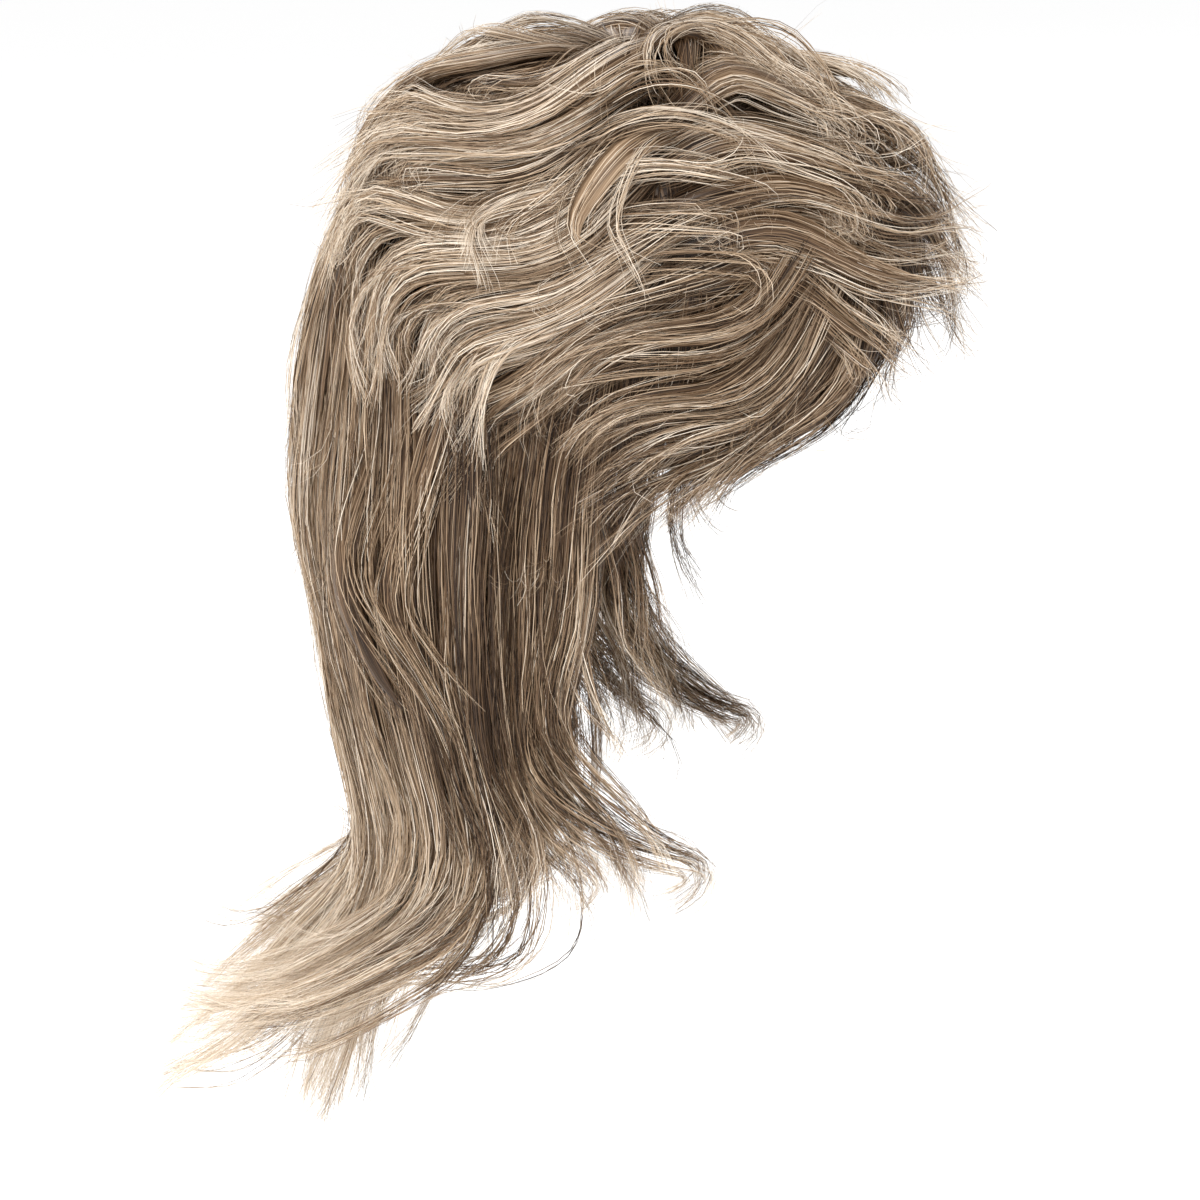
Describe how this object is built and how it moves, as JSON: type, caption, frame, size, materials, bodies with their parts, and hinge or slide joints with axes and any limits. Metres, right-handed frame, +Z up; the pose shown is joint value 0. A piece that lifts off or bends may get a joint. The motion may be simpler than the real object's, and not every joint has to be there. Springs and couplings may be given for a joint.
{
  "type": "cosplay wig",
  "caption": "Feathered shoulder-length wig in streaked ash blond: a thin stretch cap with layered locks, a swept fringe, and long back hair that flicks out at its ends.",
  "frame": {"origin": "inside of the cap's top, where the wig sits on the crown of the head", "axes": "+Z up, -Y the way the wearer faces, -X the wearer's right"},
  "size_m": [0.2086, 0.2984, 0.4133],
  "materials": {
    "cap": "matte stretch net",
    "hair": "satin synthetic hair fibre, streaked from ash brown to pale blond"
  },
  "bodies": {
    "root": {"wig_cap": "cap", "crown_layer": "hair", "fringe": "hair", "feathers_right": "hair", "feathers_left": "hair", "side_lengths_right": "hair", "side_lengths_left": "hair", "back_lengths": "hair"}
  },
  "joints": []
}
